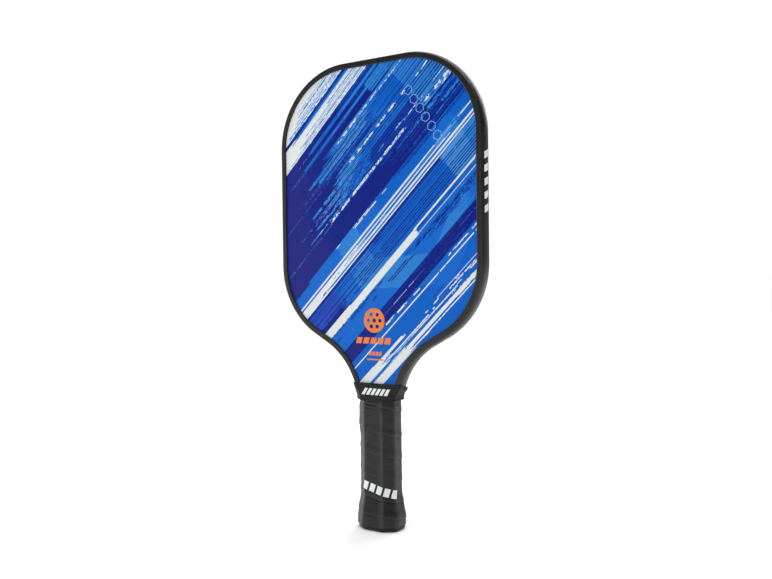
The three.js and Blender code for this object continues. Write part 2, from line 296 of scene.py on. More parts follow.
def printed_material():
    """The printed, lacquered glass-fibre face: ink from the mesh and a woven tooth under it."""
    s = Surface("printed_fibreglass", specular=0.12)
    ink = s.node("ShaderNodeVertexColor", layer_name="ink").outputs["Color"]
    mottle = s.spread(s.noise(0.8, 2), 0, 0.07, 0.35, 0.65)
    cloudy = s.spread(s.noise(28, 3), 0, 0.03)
    darker = s.mixed(mottle, ink, srgb(8, 40, 120))
    s.coloured(s.mixed(cloudy, darker, srgb(70, 100, 170)))
    s.roughened(s.spread(s.noise(2.2, 4), 0.33, 0.45))
    warp = s.node("ShaderNodeTexWave", bands_direction="X", Scale=110.0, Distortion=0.6)
    weft = s.node("ShaderNodeTexWave", bands_direction="Z", Scale=110.0, Distortion=0.6)
    for wave in (warp, weft):
        s.join(s.place, wave.inputs["Vector"])
    woven = s.maths("MULTIPLY", warp.outputs["Fac"], weft.outputs["Fac"])
    s.relieved(woven, 0.018)
    s.relieved(s.noise(0.35, 2), 0.012)
    return s.material


def wrap_material():
    """Smooth synthetic leather with fine pores and soft creases, greyer along its ridges: wear plus a
    painted highlight.
    """
    s = Surface("grip_leather", specular=0.34)
    drift = s.spread(s.noise(14, 4), 0, 1)
    worn = s.spread(s.noise(2.6, 5), 0, 0.5, 0.5, 0.75)
    base = s.mixed(drift, srgb(18, 18, 19), srgb(24, 24, 25))
    # The ridges are painted a lighter grey: partly wear, partly a painted highlight.
    rubbed = s.node("ShaderNodeAttribute", attribute_name="rubbed").outputs["Fac"]
    rubbed = s.maths("MULTIPLY", rubbed, s.spread(s.noise(8, 4), 0.6, 1))
    s.coloured(s.mixed(rubbed, s.mixed(worn, base, srgb(31, 31, 32)), srgb(58, 58, 59)))
    s.roughened(s.spread(s.noise(5, 4), 0.3, 0.42))
    cells = s.node("ShaderNodeTexVoronoi", feature="DISTANCE_TO_EDGE", Scale=1400.0)
    s.join(s.place, cells.inputs["Vector"])
    s.relieved(s.spread(cells.outputs["Distance"], 0, 1, 0.0, 0.25), 0.02)
    s.relieved(s.noise(6, 3), 0.12)
    return s.material


GUARD = moulded("guard_plastic", srgb(16, 16, 16), 1.3, 0.36, 0.35, 0.02, specular=0.42)
RUBBER = moulded("collar_rubber", srgb(20, 20, 21), 1.25, 0.6, 0.3, 0.03, specular=0.25)
CAP = moulded("cap_plastic", srgb(22, 22, 23), 1.3, 0.45, 0.5, 0.02, specular=0.4)
BADGE = moulded("badge_plastic", srgb(46, 46, 48), 1.2, 0.28, 0.6, 0.01)
PRINT = printed_material()
LEATHER = wrap_material()
WHITE_INK = ink_material("white_ink", srgb(236, 238, 238))
ORANGE_INK = ink_material("orange_ink", srgb(233, 126, 48))
PALE_INK = ink_material("pale_blue_ink", srgb(128, 176, 226))


# ---------- the print ----------
# Streaks run up to the right. s is the distance along them and t across them, up to the left, both
# from the middle of the head. Each streak is (ink, t low, t high, s start, s end), and then, where it
# needs them, how ragged each end is, how much of it is covered, and how long a covered run is.
STREAK_TURN = math.radians(44.5)
STREAK_CENTRE = (0, 260)
CELL_S = 1.2
CELL_T = 0.5
S_RANGE = (-118, 146)
T_RANGE = (-114, 136)
PRINT_ROWS = round((T_RANGE[1] - T_RANGE[0]) / CELL_T)
PRINT_COLUMNS = round((S_RANGE[1] - S_RANGE[0]) / CELL_S)

INKS = {
    "white": (226, 231, 228),
    "pale": (150, 190, 228),
    "haze": (70, 144, 214),
    "sky": (44, 126, 208),
    "mid": (14, 104, 202),
    "royal": (0, 96, 196),
    "iris": (38, 72, 184),
    "cobalt": (0, 58, 158),
    "dusk": (70, 90, 172),
    "navy": (4, 26, 126),
    "violet": (26, 32, 124),
}
INK_NAMES = list(INKS)
BORDER_INK = (14, 60, 150)  # under the guard and the collar, beyond the cells
INK_UNEVENNESS = 0.018
RAG = 0.6  # how far a streak's end wanders when its raggedness is 1
RULING_RAG = (7, 3)
HIDDEN_BORDER = 1.2  # how far in from the sheet's edge the cells stop, still under the guard

BASE = [
    ("royal", -114, 15, -118, 146),
    ("navy", 14.5, 100.2, -118, 146),
    ("white", 100.2, 136, -118, 146),
]

UPPER_LEFT = [
    ("pale", 129.9, 130.5, 14, 60, 4, 0, 0.8, 7),
    ("sky", 128.8, 129.4, 10, 60, 5, 0, 0.8, 7),
    ("sky", 126.6, 127.9, 15, 64, 6, 0, 0.85, 6),
    ("pale", 125.4, 126.0, 8, 64, 5, 0, 0.8, 8),
    ("mid", 123.9, 124.7, 6, 68, 4, 0, 0.92, 12),
    ("pale", 122.6, 123.3, 10, 70, 8, 0, 0.85, 8),
    ("sky", 121.8, 122.3, -2, 70, 6, 0, 0.7, 6),
    ("pale", 120.7, 121.3, -9, 72, 4, 0, 0.8, 8),
    ("sky", 119.7, 120.3, -13, 74, 4, 0, 0.75, 7),
    ("mid", 118.5, 119.2, -8, 76, 8, 0, 0.55, 6),
    ("cobalt", 115.5, 118.5, -26, 84),
    ("navy", 116.0, 117.8, -26, 10, 0, 9),
    ("navy", 117.2, 118.0, 20, 84, 6, 0, 0.5, 9),
    ("mid", 113.5, 115.5, -4, 88, 8, 0),
    ("sky", 114.0, 115.0, 26, 88, 9, 0, 0.9, 9),
    ("pale", 112.3, 112.9, 4, 88, 5, 0, 0.85, 9),
    ("pale", 110.9, 111.4, 26, 88, 9, 0, 0.7, 6),
    ("sky", 109.3, 110.7, 43, 88, 5, 0, 0.82, 5),
    ("mid", 107.8, 108.5, 5, 92, 3, 0, 0.92, 9),
    ("pale", 106.7, 107.3, 12, 92, 6, 0, 0.8, 7),
    ("mid", 104.9, 105.7, -7, 94, 4, 0, 0.95, 14),
    ("sky", 103.5, 104.6, 3, 95, 6, 0, 0.9, 10),
    ("pale", 102.5, 103.0, -12, 96, 6, 0, 0.8, 8),
    ("sky", 101.4, 101.9, -32, 97, 2, 0, 0.8, 7),
    ("sky", 100.2, 100.7, -38, 98, 0, 0, 0.85, 9),
]

NAVY_FIELD = [
    ("violet", 14.5, 99.8, -118, -46, 0, 9),
    ("violet", 60, 99.8, -70, -16, 0, 9, 0.8, 16),
    ("cobalt", 96.0, 99.4, 45, 112, 7, 0),
    ("navy", 97.3, 97.9, 44, 112, 0, 0, 0.85, 9),
    ("mid", 98.6, 99.2, 58, 112, 6, 0, 0.7, 8),
    ("dusk", 93.2, 94.5, -25, -3, 3, 3, 0.5, 3),
    ("mid", 92.7, 95.3, -4, 112, 5, 0),
    ("sky", 93.1, 95.0, 45, 112, 7, 0),
    ("navy", 93.9, 94.3, -2, 50, 0, 5, 0.5, 7),
    ("cobalt", 89.6, 92.4, 56, 112, 16, 0, 0.7, 7),
    ("dusk", 85.9, 87.6, -42, -18, 2, 4, 0.55, 3.5),
    ("mid", 85.9, 88.7, -20, 112, 5, 0),
    ("sky", 86.5, 88.2, 30, 112, 9, 0, 0.92, 14),
    ("navy", 87.1, 87.5, -16, 40, 0, 9, 0.5, 8),
    ("cobalt", 84.3, 85.3, -34, 44, 9, 12, 0.45, 5),
    ("sky", 81.2, 91.2, 76, 116, 1, 0),
    ("cobalt", 82.7, 83.3, 77, 116, 0, 0, 0.85, 10),
    ("cobalt", 85.3, 86.1, 76, 116, 0, 0, 0.95, 14),
    ("cobalt", 88.6, 89.2, 79, 116, 0, 0, 0.8, 10),
]

CENTRE_BLUES = [
    ("mid", 74.6, 79.6, 6, 130, 7, 0),
    ("sky", 76.0, 79.2, 14, 130, 6, 0, 0.93, 12),
    ("sky", 73.3, 74.5, -4, 70, 5, 9),
    ("cobalt", 61.0, 73.2, -14, 100, 11, 0),
    ("mid", 69.9, 73.1, -16, 74, 8, 9),
    ("sky", 70.4, 72.7, -27, 60, 5, 12, 0.85, 7),
    ("sky", 66.1, 68.8, -15, 60, 1, 9),
    ("dusk", 64.8, 67.2, -40, -16, 2, 2, 0.45, 3),
    ("dusk", 68.2, 69.2, -50, -36, 2, 2, 0.3, 2),
    ("mid", 63.7, 64.6, -6, 60, 5, 8, 0.75, 7),
    ("royal", 60.5, 74.2, 57, 102, 9, 0),
    ("sky", 60.5, 80.2, 101, 140),
    ("dusk", 60.3, 61.0, -75, 34, 5, 6, 0.55, 3),
    ("cobalt", 31.5, 60.4, 8, 100, 9, 0),
    ("royal", 46.5, 60.4, 28, 100, 7, 0),
    ("sky", 31.5, 60.6, 100, 146),
    ("mid", 56.4, 58.3, 5, 40, 5, 6),
    ("sky", 56.9, 57.9, 6, 27, 3, 5, 0.9, 7),
    ("mid", 53.0, 55.6, -4, 34, 5, 8),
    ("sky", 53.5, 54.8, -2, 24, 4, 5, 0.85, 6),
    ("sky", 49.5, 51.6, -43, -28, 2, 1, 0.9, 5),
    ("sky", 49.0, 51.8, -25, -7, 1, 2, 0.78, 5),
    ("mid", 48.5, 52.3, -5, 34, 3, 9),
    ("sky", 49.2, 51.4, -3, 22, 3, 5, 0.8, 5),
    ("dusk", 44.3, 46.2, -67, -50, 1, 2, 0.42, 2.5),
    ("dusk", 42.8, 47.2, -42, -4, 3, 4, 0.5, 3.5),
    ("sky", 43.4, 46.5, -32, 6, 4, 5, 0.5, 3.5),
    ("mid", 42.2, 47.4, -6, 38, 6, 9, 0.85, 7),
    ("sky", 39.3, 41.3, -46, -28, 2, 2, 0.85, 5),
    ("sky", 38.5, 41.5, -27, 27, 2, 8, 0.62, 4),
    ("mid", 36.6, 42.0, -14, 32, 6, 9, 0.65, 6),
    ("sky", 35.3, 36.7, -61, -9, 3, 4, 0.72, 5),
    ("pale", 35.5, 36.3, -50, -36, 2, 2, 0.5, 3),
    ("mid", 32.8, 36.0, -8, 44, 4, 8, 0.7, 6),
    ("dusk", 31.3, 32.6, -100, -30, 3, 3, 0.55, 3),
]

NAVY_BAND = [
    ("cobalt", 28.3, 30.6, 36, 96, 12, 0, 0.7, 8),
    ("mid", 26.6, 28.4, 60, 97, 9, 4, 0.6, 6),
    ("cobalt", 23.9, 25.1, 48, 100, 9, 0, 0.8, 9),
    ("cobalt", 21.5, 22.4, 52, 140, 8, 0, 0.8, 9),
    ("mid", 26.4, 29.4, 100, 142, 2, 0, 0.72, 7),
    ("cobalt", 23.5, 26.0, 100, 142, 0, 0, 0.8, 9),
    ("sky", 21.1, 23.5, 116, 142, 4, 0, 0.8, 6),
    ("mid", 18.5, 19.3, 100, 142, 4, 0, 0.75, 9),
    ("cobalt", 16.2, 17.4, 60, 142, 9, 0, 0.75, 11),
    ("iris", 17.6, 18.4, 50, 96, 9, 4, 0.5, 6),
]

LOWER_CENTRE = [
    ("mid", 3.0, 14.5, -118, 12, 0, 0),
    ("violet", 12.7, 14.6, -118, -85, 0, 3),
    ("navy", 11.8, 13.1, 43, 142, 9, 0, 0.95, 20),
    ("navy", 13.8, 14.6, 22, 142, 6, 0, 0.9, 16),
    ("cobalt", 10.7, 11.4, 60, 142, 9, 0, 0.75, 12),
    ("white", 13.4, 14.2, -43, -37.5, 0.6, 0.6),
    ("white", 13.5, 14.0, -18, 6, 1, 2, 0.8, 6),
    ("white", 11.8, 12.9, -17, -4.5, 0.8, 0.5, 0.97, 9),
    ("white", 11.8, 12.8, -3, 14, 0.5, 0.8, 0.97, 9),
    ("white", 11.9, 12.6, 23, 29.5, 1, 1, 0.85, 4),
    ("sky", 0.4, 4.0, -118, 146, 0, 0, 0.4, 20),
    ("mid", 0.2, 1.5, -118, -52, 0, 9),
    ("sky", 0.2, 1.6, -56, 110, 9, 0),
    ("white", 1.5, 3.1, -118, 62, 0, 7),
    ("white", 1.8, 2.8, 55, 84, 0, 1),
    ("pale", 1.9, 2.7, 85.5, 105, 0.5, 2),
    ("white", 1.6, 2.5, 115, 142, 2, 0),
    ("white", -7.6, 0.2, -118, -71, 0, 8),
    ("white", -5.2, 0.2, -76, -26, 0, 12),
    ("white", -7.3, -6.3, -80, 146),
    ("white", -5.1, -3.6, -32, 146),
    ("white", -1.5, -0.3, -32, 98, 0, 6),
    ("sky", -3.5, -1.6, -26, 110, 12, 0),
    ("royal", -3.1, -1.9, 20, 110, 9, 0),
    ("pale", -3.0, -2.4, -34, 14, 4, 6, 0.8, 9),
    ("sky", -6.2, -5.2, -78, 146, 8, 0),
    ("mid", -2.9, -2.4, -60, -30, 4, 3, 0.6, 6),
    ("mid", -2.9, -2.4, -22, 2, 3, 3, 0.7, 6),
    ("sky", -5.8, -5.2, -86, -62, 2, 2, 0.6, 5),
    ("cobalt", -2.7, -2.0, 12, 36, 3, 4, 0.7, 8),
    ("cobalt", -10.4, -7.7, -118, 146),
    ("navy", -9.5, -7.9, -118, 146, 0, 0, 0.9, 24),
    ("iris", -31, -10.4, -118, -68, 0, 9),
    ("navy", -30.4, -25.2, -118, -61, 0, 8),
    ("iris", -26.2, -21.0, -106, -86, 2, 6, 0.8, 9),
    ("mid", -31, -10.4, -68, -10, 9, 9),
    ("sky", -31, -7.9, 80, 146, 1, 0),
    ("navy", -11.8, -10.8, -15, -3, 1, 2, 0.9, 6),
    ("cobalt", -12.8, -12.0, -112, 130, 0, 0, 0.94, 34),
    ("cobalt", -14.9, -14.1, -118, 128, 0, 0, 0.94, 34),
    ("navy", -15.0, -14.1, 94, 110, 2, 3, 0.9, 8),
    ("cobalt", -17.2, -16.4, -104, 124, 0, 0, 0.94, 34),
    ("navy", -19.8, -19.0, -112, 124, 0, 0, 0.95, 34),
    ("cobalt", -21.9, -21.2, -40, 120, 9, 0, 0.92, 30),
    ("navy", -23.8, -23.1, -100, 118, 0, 0, 0.95, 30),
    ("cobalt", -25.9, -25.2, -40, 116, 9, 0, 0.92, 30),
    ("navy", -27.9, -27.2, -60, 114, 9, 0, 0.94, 30),
    ("navy", -30.2, -29.5, 38, 110, 8, 0, 0.94, 30),
]

SECOND_WHITE = [
    ("mid", -55.3, -37.4, -118, 72, 0, 12),
    ("white", -31.3, -30.4, -118, -68, 0, 2),
    ("white", -37.3, -31.3, -118, 24, 0, 1.2),
    ("white", -38.0, -37.3, -104, -48, 3, 4, 0.6, 4),
    ("royal", -36.3, -32.4, 24, 110, 1.5, 0),
    ("white", -32.3, -31.2, 22, 104, 0, 2),
    ("white", -37.2, -36.3, 22, 99, 0, 2),
    ("navy", -33.6, -32.6, 27, 37, 2, 3),
    ("cobalt", -34.8, -34.2, 34, 96, 6, 0, 0.5, 9),
    ("navy", -38.9, -38.1, -102, -80, 2, 3, 0.8, 5),
    ("navy", -40.1, -39.1, -76, -27, 3, 3, 0.85, 8),
    ("cobalt", -41.3, -40.5, -76, -54, 2, 2, 0.8, 6),
    ("cobalt", -42.2, -39.8, 4, 98, 12, 0, 0.62, 9),
    ("navy", -43.4, -42.2, 12, 94, 9, 0, 0.7, 7),
    ("navy", -44.6, -43.5, -26, 0, 1.5, 2, 0.92, 9),
    ("navy", -44.9, -43.9, -49, -42, 1, 1),
    ("navy", -45.0, -43.8, -101, -92, 1, 2, 0.85, 4),
    ("navy", -46.4, -45.3, -22, 9, 2, 2, 0.88, 7),
    ("cobalt", -46.5, -43.9, 30, 94, 9, 0, 0.6, 8),
    ("navy", -47.4, -46.6, 34, 60, 6, 6, 0.6, 6),
]

LOWER_RIGHT = [
    ("navy", -67.3, -55.3, -118, 92, 0, 0),
    ("violet", -67.3, -57.5, -118, -83, 0, 3),
    ("cobalt", -58.2, -56.0, -44, 72, 16, 16, 0.33, 8),
    ("dusk", -61.4, -60.8, -56, 6, 4, 4, 0.8, 7),
    ("pale", -61.4, -60.9, -35, -6, 2, 3, 0.85, 8),
    ("dusk", -60.4, -59.8, 54, 80, 3, 0, 0.85, 7),
    ("cobalt", -65.0, -63.8, -30, 70, 14, 9, 0.4, 9),
    ("iris", -67.0, -66.3, -20, 66, 9, 9, 0.45, 7),
    ("white", -69.0, -67.7, -53, -43, 1, 1, 0.92, 4),
    ("white", -69.3, -67.9, -38, -26, 1, 1, 0.85, 3.5),
    ("white", -70.0, -69.2, -16, -7, 1, 1, 0.9, 5),
    ("white", -70.0, -69.2, 30, 33.5, 0.5, 0.5),
    ("white", -70.0, -69.2, 37, 54, 1, 1, 0.95, 9),
    ("white", -70.0, -69.2, 60, 80, 1, 0, 0.9, 7),
    ("white", -73.5, -72.6, -105, 12, 0, 2),
    ("white", -73.5, -72.7, 15, 58.5, 1, 1, 0.98, 14),
    ("white", -73.5, -72.7, 60.5, 66, 0.5, 1),
    ("white", -92.2, -84.5, -118, -88, 0, 5),
    ("white", -87.7, -85.2, -92, -45, 0, 4),
    ("white", -92.2, -87.7, -92, -72, 0, 6),
    ("white", -90.8, -89.8, -74, -17, 2, 2, 0.98, 16),
    ("white", -92.5, -91.6, -40, 17, 2, 3, 0.94, 12),
    ("pale", -92.5, -91.7, -64, -40, 3, 0, 0.8, 7),
    ("mid", -93.9, -92.6, -98, -58, 2, 4),
    ("pale", -94.4, -93.7, -72, -50, 3, 3, 0.8, 6),
    ("white", -101.4, -94.4, -118, -49, 0, 5),
    ("white", -98.2, -95.2, -52, 42, 0, 4),
    ("white", -98.6, -94.6, 14, 36, 3, 3, 0.55, 3.5),
    ("white", -100.5, -99.6, -52, 38, 0, 2, 0.95, 14),
    ("white", -101.0, -99.4, -36, -26, 2, 2, 0.8, 4),
    ("white", -86.7, -85.8, -2, 62, 1, 0, 0.98, 16),
    ("white", -87.8, -86.9, -7, -1, 1, 1, 0.7, 2.5),
    ("white", -87.8, -87.2, -19, -15, 0.5, 0.5, 0.8, 2.5),
    ("white", -87.6, -86.7, 20, 30, 2, 2, 0.5, 2.5),
    ("white", -89.3, -88.5, 11, 28.5, 1, 1, 0.85, 4),
    ("white", -89.3, -88.5, 30, 50, 1, 0, 0.75, 4),
    ("white", -91.0, -90.1, 36, 58, 1, 0, 0.9, 5),
    ("white", -90.4, -89.4, -11.5, -9, 0.4, 0.4),
    ("white", -93.7, -92.8, 10, 15.5, 0.6, 0.6, 0.85, 3),
    ("white", -91.5, -90.9, 20, 24.5, 0.6, 0.6),
    ("cobalt", -83.6, -83.0, -20, 40, 9, 9, 0.3, 8),
]

# Broken white dashes: (t low, t high, (s start, s end), ...)
DASHES = [
    (76.5, 78.1, (22, 28), (30, 38), (39, 50), (54, 58), (60, 67), (70, 80)),
    (76.1, 77.2, (84, 87), (90, 94), (96, 103), (105, 109), (111, 115)),
    (55.2, 56.8, (20, 27), (31, 37), (40, 54), (59, 63), (65, 71), (75, 85), (94, 98)),
    (55.2, 56.4, (112, 117), (121, 128)),
    (39.8, 40.6, (47, 53), (70, 76), (120, 142)),
    (38.8, 39.7, (77, 90), (93, 98), (103, 110)),
    (33.0, 34.8, (-30, -18), (-14, -2), (2, 24), (26, 34), (37, 43), (46, 60), (62, 76)),
    (33.4, 35.8, (105, 109), (116, 124), (127, 142)),
    (31.6, 33.2, (124, 130), (133, 142)),
]

# Fine dark rulings: (ink, t low, t high, s start, s end, pitch, width, cover, run)
RULINGS = [
    ("navy", 61.5, 79.4, -10, 66, 1.5, 0.5, 0.7, 12),
    ("cobalt", 61.5, 75.0, 66, 140, 2.65, 0.7, 0.92, 40),
    ("cobalt", 74.8, 80.0, 101, 140, 2.65, 0.7, 0.95, 40),
    ("navy", 33.0, 60.0, -6, 30, 1.5, 0.5, 0.5, 12),
    ("navy", 33.0, 60.0, 30, 146, 2.65, 0.8, 0.96, 60),
]

# The faint hexagonal band behind the streaks, by the distances from its middle to its inner and
# outer sides.
BAND_CENTRE = (24, 282)
BAND_SIDES = (50, 76)
BAND_TURN = math.radians(33)


def paint_print():
    """The ink of each cell of the print, as an index into INK_NAMES."""
    rows, columns = PRINT_ROWS, PRINT_COLUMNS
    cells = np.zeros((rows, columns), int)
    s_of = S_RANGE[0] + CELL_S * (np.arange(columns) + 0.5)

    def streak(ink, low, high, start, end, rag0=0.0, rag1=0.0, cover=1.0, run=6.0):
        """Paints over whatever lies there already."""
        first = round((low - T_RANGE[0]) / CELL_T)
        last = max(first + 1, round((high - T_RANGE[0]) / CELL_T))
        for row in range(first, min(last, rows)):
            a = start + rag0 * rng.normal(0, RAG)
            b = end + rag1 * rng.normal(0, RAG)
            on = (s_of >= a) & (s_of < b)
            if cover < 1:
                on &= broken(cover, run)
            cells[row, on] = INK_NAMES.index(ink)

    def broken(cover, run):
        """Which columns a broken streak covers, in runs of random lengths."""
        on = np.zeros(columns, bool)
        at = -rng.uniform(0, run)
        while at < columns * CELL_S:
            length = rng.gamma(2.0, run / 2)
            on[max(0, int(at / CELL_S)) : max(0, int((at + length) / CELL_S))] = True
            at += length + rng.gamma(2.0, run * (1 - cover) / cover / 2)
        return on

    for entry in BASE + UPPER_LEFT + NAVY_FIELD + CENTRE_BLUES:
        streak(*entry)
    for ink, low, high, start, end, pitch, width, cover, run in RULINGS:
        for t in np.arange(low, high, pitch):
            streak(ink, t, t + width, start, end, *RULING_RAG, cover, run)
    for entry in NAVY_BAND + LOWER_CENTRE + SECOND_WHITE + LOWER_RIGHT:
        streak(*entry)
    for low, high, *runs in DASHES:
        for start, end in runs:
            # A patchy haze shows a little way round each dash.
            streak("haze", low - 0.4, high + 0.4, start - 1, end + 1, 1.5, 1.5, 0.55, 3)
            streak("white", low, high, start, end, 1.2, 1.2, 0.62, 2.6)
    return cells


def on_band(x, z):
    """Which points the faint hexagonal band covers."""
    dx, dz = x - BAND_CENTRE[0], z - BAND_CENTRE[1]
    turns = BAND_TURN + np.radians(60) * np.arange(6)
    reach = np.max([dx * math.cos(a) + dz * math.sin(a) for a in turns], axis=0)
    return (reach > BAND_SIDES[0]) & (reach < BAND_SIDES[1])


def streak_place(s, t):
    """Where a point given along and across the streaks is on the face."""
    c, n = math.cos(STREAK_TURN), math.sin(STREAK_TURN)
    return STREAK_CENTRE[0] + s * c - t * n, STREAK_CENTRE[1] + s * n + t * c


def grid_places(rows, columns, shift):
    """Where a grid of rows and columns lies on the face. shift is 0 for corners, 0.5 for middles."""
    s = S_RANGE[0] + CELL_S * (np.arange(columns) + shift)
    t = T_RANGE[0] + CELL_T * (np.arange(rows) + shift)
    return streak_place(*np.meshgrid(s, t))


def cell_colours(cells):
    """Linear colour of each cell, one tone lighter where the faint band lies behind the blues."""
    band = on_band(*grid_places(*cells.shape, 0.5))
    shown = cells.copy()
    for ink, lighter in (("sky", "haze"), ("mid", "sky"), ("royal", "mid")):
        shown[band & (cells == INK_NAMES.index(ink))] = INK_NAMES.index(lighter)
    table = np.array([srgb(*INKS[name]) for name in INK_NAMES])
    colours = table[shown]
    return colours * rng.normal(1, INK_UNEVENNESS, cells.shape)[..., None].clip(0.93, 1.07)


def cells_on_face(x, z):
    """Which cells lie wholly on the face, short of its edge under the guard and the collar."""
    points, normals = full_outline(GUARD_END_Z)
    hidden_edge = (points - (PANEL_INSET + HIDDEN_BORDER) * normals)[::-1]
    good = inside(x, z, hidden_edge) & (z > GUARD_END_Z)
    return good[:-1, :-1] & good[1:, :-1] & good[:-1, 1:] & good[1:, 1:]


def cell_quads(keep, shape):
    """The kept cells as quads, and which grid corners they use, numbered in the grid's order."""
    used = np.zeros(shape, bool)
    for dr in (0, 1):
        for dc in (0, 1):
            used[dr : keep.shape[0] + dr, dc : keep.shape[1] + dc] |= keep
    corner = np.full(shape, -1)
    corner[used] = np.arange(used.sum())
    r, c = np.nonzero(keep)
    quads = np.stack([corner[r, c], corner[r, c + 1], corner[r + 1, c + 1], corner[r + 1, c]], 1)
    return quads, used


def cell_at(x, z):
    """The row and column of the cell that holds a place on the face."""
    dx, dz = x - STREAK_CENTRE[0], z - STREAK_CENTRE[1]
    c, n = math.cos(STREAK_TURN), math.sin(STREAK_TURN)
    s, t = dx * c + dz * n, -dx * n + dz * c
    return int((t - T_RANGE[0]) / CELL_T), int((s - S_RANGE[0]) / CELL_S)


def anticlockwise(face, points):
    """The triangle's corners in anticlockwise order."""
    (ax, ay), (bx, by), (cx, cy) = (points[v] for v in face)
    turn = (bx - ax) * (cy - ay) - (cx - ax) * (by - ay)
    return list(face) if turn > 0 else list(face)[::-1]


def border_faces(every, quads, keep, outline):
    """Triangles between the cells' stepped edge and the sheet's outline, whose points come last."""
    sides = np.concatenate([quads[:, [k, (k + 1) % 4]] for k in range(4)])
    key = np.sort(sides, 1)
    _, first, count = np.unique(key, axis=0, return_index=True, return_counts=True)
    stair = sides[first[count == 1]]
    rim_ids = np.arange(len(every) - len(outline), len(every))
    needed = np.concatenate([np.unique(stair), rim_ids])
    local = {int(v): i for i, v in enumerate(needed)}
    edges = [(local[int(a)], local[int(b)]) for a, b in stair]
    rim = [local[int(v)] for v in rim_ids]
    edges += list(zip(rim, rim[1:] + rim[:1]))
    result = delaunay_2d_cdt([Vector(every[v]) for v in needed], edges, [], 0, 1e-6)
    border = []
    for face in result[2]:
        ids = [int(needed[result[3][v][0]]) for v in face]
        middle = every[ids].mean(0)
        row, col = cell_at(*middle)
        on_cell = 0 <= row < keep.shape[0] and 0 <= col < keep.shape[1] and keep[row, col]
        if not on_cell and inside(middle[0], middle[1], outline):
            border.append(anticlockwise(ids, every))
    return border


def face_sheet(name, side, node, cells):
    """A printed face sheet. side is -1 in front and 1 behind, where the print reads the same way."""
    outline = panel_outline()
    x, z = grid_places(cells.shape[0] + 1, cells.shape[1] + 1, 0)
    keep = cells_on_face(x, z)
    quads, used = cell_quads(keep, x.shape)
    every = np.vstack([np.stack([x[used], z[used]], 1), outline])
    border = border_faces(every, quads, keep, outline)

    rim_ids = np.arange(len(every) - len(outline), len(every))
    back_ids = rim_ids + len(outline)
    flip = -side
    front = np.stack([every[:, 0] * flip, np.full(len(every), side * FACE_Y), every[:, 1]], 1)
    back = np.stack([outline[:, 0] * flip, np.full(len(outline), side * SCRIM_Y), outline[:, 1]], 1)
    walls = np.stack([rim_ids, back_ids, np.roll(back_ids, -1), np.roll(rim_ids, -1)], 1)
    faces = quads.tolist() + border + walls.tolist() + [back_ids[::-1].tolist()]
    piece = make_piece(name, np.vstack([front, back]), faces, PRINT, (node,))

    mesh = piece.data
    colours = np.zeros((len(mesh.loops), 4), np.float32)
    colours[:] = (*srgb(*BORDER_INK), 1)
    shades = cell_colours(cells)[np.nonzero(keep)]
    colours[: 4 * len(quads), :3] = np.repeat(shades, 4, axis=0)
    layer = mesh.color_attributes.new("ink", "FLOAT_COLOR", "CORNER")
    layer.data.foreach_set("color", colours.ravel())


print_cells = paint_print()
face_sheet("front_printed_face", -1, "front_face_sheet", print_cells)
face_sheet("rear_printed_face", 1, "rear_face_sheet", print_cells)

# ---------- the edge guard ----------

# Half of the guard's section, as [outward, y], from a lip's tip round to the crown of the web.
GUARD_HALF = [
    (-6.1, 5.66), (-6.12, 6.05), (-6.06, 6.3), (-5.9, 6.48), (-5.6, 6.57), (-5.0, 6.6),
    (-3.6, 6.6), (-2.6, 6.6), (-2.1, 6.58), (-1.75, 6.5), (-1.45, 6.34), (-1.22, 6.12),
    (-1.06, 5.86), (-0.98, 5.58), (-1.0, 5.36), (-1.14, 5.22), (-1.2, 5.08), (-1.08, 4.94),
    (-0.82, 4.82), (-0.62, 4.5), (-0.44, 3.9), (-0.26, 3.0), (-0.12, 2.0), (-0.03, 1.0),
]  # fmt: skip


def guard_section():
    """The channel's closed section: both halves of its outside and then its flat inside."""
    lower = [(u, -y) for u, y in reversed(GUARD_HALF)]
    return GUARD_HALF + [(0, 0)] + lower + [(-1.9, -5.6), (-1.9, 5.6)]


def build_guard():
    """The section swept round the head, closed at both ends."""
    points, normals = full_outline(GUARD_END_Z, math.radians(1.5))
    section = np.array(guard_section())
    rings = [
        np.stack([p[0] + n[0] * section[:, 0], section[:, 1], p[1] + n[1] * section[:, 0]], 1)
        for p, n in zip(points, normals)
    ]
    verts = np.vstack(rings)
    faces = facing_out(verts, capped_bands(len(rings), len(section)))
    make_piece("edge_guard_channel", verts, faces, GUARD, ("edge_guard",))


build_guard()

# ---------- handle rings ----------

ARC_SPANS = 6  # round each of the octagon's corners
FLAT_SPANS = 7  # along each of its facets


def facet_directions(corners):
    """The outward angle of the facet that starts at each corner, rising round the ring."""
    ahead = np.roll(corners, -1, 0) - corners
    angle = np.arctan2(-ahead[:, 0], ahead[:, 1])
    return np.unwrap(angle)


def octagon_ring(hx, hy, fx, fy, r):
    """Points and normals round an octagon with corners rounded to radius r, from the front facet's
    right corner towards +X. Every ring has the same number of points, so rings match."""
    corners = [(fx, -hy), (hx, -fy), (hx, fy), (fx, hy), (-fx, hy), (-hx, fy), (-hx, -fy), (-fx, -hy)]
    corners = np.array(corners, float)
    angle = facet_directions(corners)
    before = np.append(angle[-1] - 2 * math.pi, angle[:-1])
    turn = angle - before
    middle = (angle + before) / 2
    bisector = np.stack([np.cos(middle), np.sin(middle)], 1)
    centres = corners - bisector * (r / np.cos(turn / 2))[:, None]
    points, normals = [], []
    for k in range(8):
        for a in np.linspace(before[k], angle[k], ARC_SPANS + 1):
            normal = np.array([math.cos(a), math.sin(a)])
            points.append(centres[k] + r * normal)
            normals.append(normal)
        start, end = points[-1], centres[(k + 1) % 8] + r * normal
        for f in np.linspace(0, 1, FLAT_SPANS + 1)[1:-1]:
            points.append(start + (end - start) * f)
            normals.append(normal)
    return np.array(points), np.array(normals)


